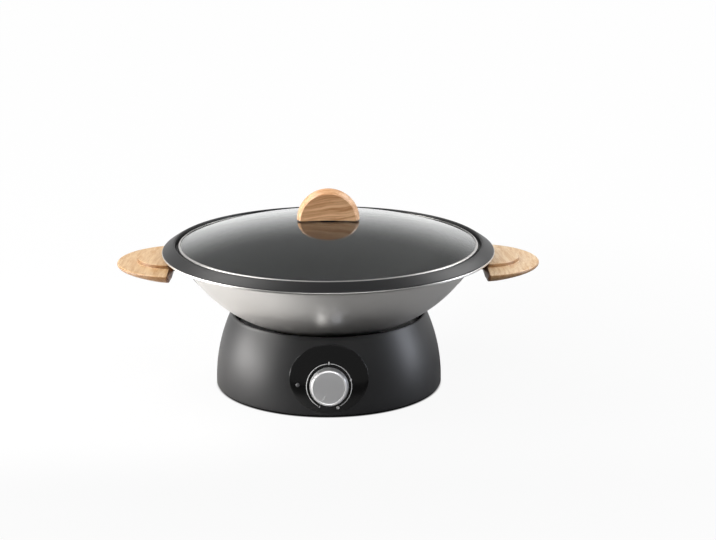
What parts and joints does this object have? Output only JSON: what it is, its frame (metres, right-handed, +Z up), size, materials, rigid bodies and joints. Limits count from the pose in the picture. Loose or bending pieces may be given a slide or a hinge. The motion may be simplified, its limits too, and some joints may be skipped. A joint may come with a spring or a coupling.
{
  "type": "electric wok",
  "caption": "Electric wok: a black heated base with a front dial, a lift-off steel bowl with half-moon wooden handles, and a lift-off domed glass lid with a wooden knob.",
  "frame": {"origin": "on the surface that the feet stand on, under the centre of the base", "axes": "+Z up, -Y to the front where the control knob is, +X through the right handle"},
  "size_m": [0.459, 0.3604, 0.217],
  "materials": {
    "housing": "satin black heat-resistant moulding",
    "panel": "gloss black",
    "print": "white print",
    "lens": "smoked, unlit",
    "lamp": "neon lamp glass",
    "cover": "moulded black",
    "fastener": "zinc-plated steel",
    "feet": "soft black",
    "shield": "pressed sheet",
    "hot_plate": "cast and machined",
    "element": "heat-tinted sheath",
    "ceramic": "unglazed",
    "copper": "drawn copper",
    "brass": "machined",
    "thermostat": "moulded phenolic",
    "inlet": "moulded black",
    "leads": "silicone insulation",
    "knob": "metallised silver",
    "knob_trim": "polished",
    "knob_face": "spun-brushed",
    "pointer": "white ink in a shallow groove",
    "bowl_steel": "polished stainless steel",
    "non_stick": "aluminium with black non-stick coat",
    "diffuser": "machined",
    "handle_wood": "lacquered light wood",
    "bracket": "stainless sheet",
    "spacer": "moulded black",
    "glass": "clear tempered",
    "lid_steel": "rolled stainless band",
    "knob_wood": "lacquered light wood",
    "seal": "silicone"
  },
  "bodies": {
    "base": {"base_housing": "housing", "control_panel": "panel", "dial_markings": "print", "indicator_lens": "lens", "indicator_lamp": "lamp", "bottom_cover": "cover", "cover_screws": "fastener", "rubber_feet": "feet", "heat_shield": "shield", "shield_screws": "fastener", "heating_plate": "hot_plate", "heating_element": "element", "element_clamp": "bracket", "ceramic_spacers": "ceramic", "plate_studs": "fastener", "plate_nuts": "fastener", "element_insulators": "ceramic", "element_terminals": "brass", "sensor_bulb": "copper", "sensor_clip": "bracket", "clip_screws": "fastener", "capillary_tube": "copper", "thermostat_body": "thermostat", "thermostat_bushing": "brass", "thermostat_bracket": "bracket", "thermostat_screws": "fastener", "thermostat_terminals": "brass", "inlet_socket": "inlet", "inlet_pins": "brass", "inlet_screws": "fastener", "terminal_block": "ceramic", "terminal_screws": "fastener", "thermal_fuse": "brass", "earth_tag": "brass", "earth_screw": "fastener", "internal_leads": "leads"},
    "knob": {"thermostat_shaft": "fastener", "knob_body": "knob", "knob_trim_ring": "knob_trim", "knob_face": "knob_face", "knob_pointer": "pointer"},
    "bowl": {"bowl_shell": "bowl_steel", "bowl_liner": "non_stick", "diffuser_disc": "diffuser", "handle_right": "handle_wood", "handle_left": "handle_wood", "handle_bracket_right": "bracket", "handle_bracket_left": "bracket", "handle_spacers": "spacer", "handle_screws": "fastener"},
    "lid": {"lid_glass": "glass", "lid_band": "lid_steel", "lid_knob": "knob_wood", "lid_knob_insert": "brass", "lid_knob_washer": "seal", "lid_screw": "fastener", "lid_screw_washer": "seal"}
  },
  "joints": [
    {"name": "knob_turn", "type": "hinge", "parent": "base", "child": "knob", "pos_m": [0, -0.12173, 0.0335], "axis": [0, 0.9874, -0.1583], "range_deg": [0, 305]},
    {"name": "bowl_lift", "type": "slide", "parent": "base", "child": "bowl", "axis": [0, 0, 1], "range_m": [0, 0.2]},
    {"name": "lid_lift", "type": "slide", "parent": "bowl", "child": "lid", "axis": [0, 0, 1], "range_m": [0, 0.15]}
  ]
}
